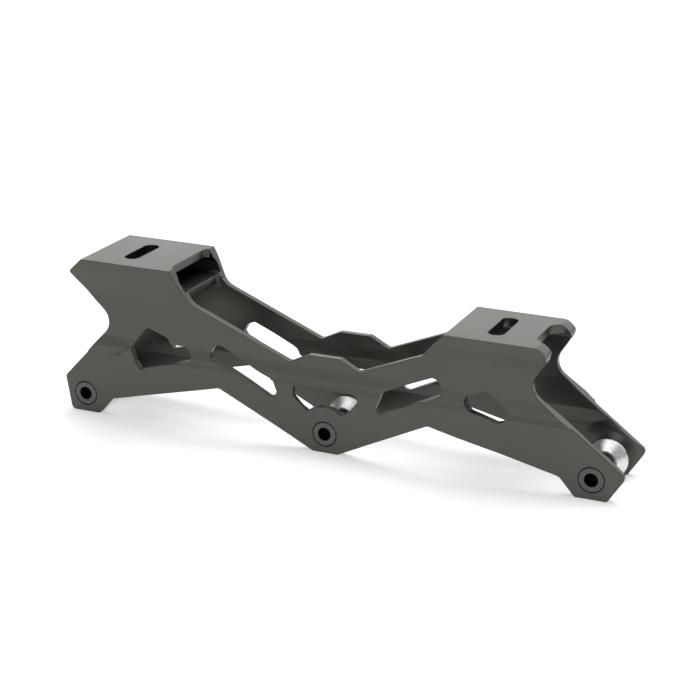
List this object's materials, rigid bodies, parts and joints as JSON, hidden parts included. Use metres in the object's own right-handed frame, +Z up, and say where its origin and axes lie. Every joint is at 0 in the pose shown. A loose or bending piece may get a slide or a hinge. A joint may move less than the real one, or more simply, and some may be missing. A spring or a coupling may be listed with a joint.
{
  "type": "inline skate frame",
  "caption": "Machined aluminium inline skate frame with slotted heel and toe decks, windowed side walls, screw-in axles flush in the lugs and loose bearing spacers.",
  "frame": {"origin": "on the ground under the middle of the frame's length and width", "axes": "+X to the toe, +Y to the side that the axles thread into, +Z up"},
  "size_m": [0.253, 0.0418, 0.0714],
  "materials": {
    "frame": "satin dark grey anodised",
    "axle": "satin dark grey",
    "spacer": "bright turned"
  },
  "bodies": {
    "frame": {"frame": "frame"},
    "axle_rear": {"axle_rear": "axle"},
    "spacer_rear": {"spacer_rear": "spacer"},
    "axle_middle": {"axle_middle": "axle"},
    "spacer_middle": {"spacer_middle": "spacer"},
    "axle_front": {"axle_front": "axle"},
    "spacer_front": {"spacer_front": "spacer"}
  },
  "joints": [
    {"name": "axle_rear_draw", "type": "slide", "parent": "frame", "child": "axle_rear", "axis": [0, -1, 0], "range_m": [0, 0.04]},
    {"name": "axle_middle_draw", "type": "slide", "parent": "frame", "child": "axle_middle", "axis": [0, -1, 0], "range_m": [0, 0.04]},
    {"name": "axle_front_draw", "type": "slide", "parent": "frame", "child": "axle_front", "axis": [0, -1, 0], "range_m": [0, 0.04]},
    {"name": "spacer_rear_slide", "type": "slide", "parent": "frame", "child": "spacer_rear", "axis": [0, -1, 0], "range_m": [0, 0.0149]},
    {"name": "spacer_middle_slide", "type": "slide", "parent": "frame", "child": "spacer_middle", "axis": [0, -1, 0], "range_m": [0, 0.0149]},
    {"name": "spacer_front_slide", "type": "slide", "parent": "frame", "child": "spacer_front", "axis": [0, -1, 0], "range_m": [0, 0.0149]}
  ]
}
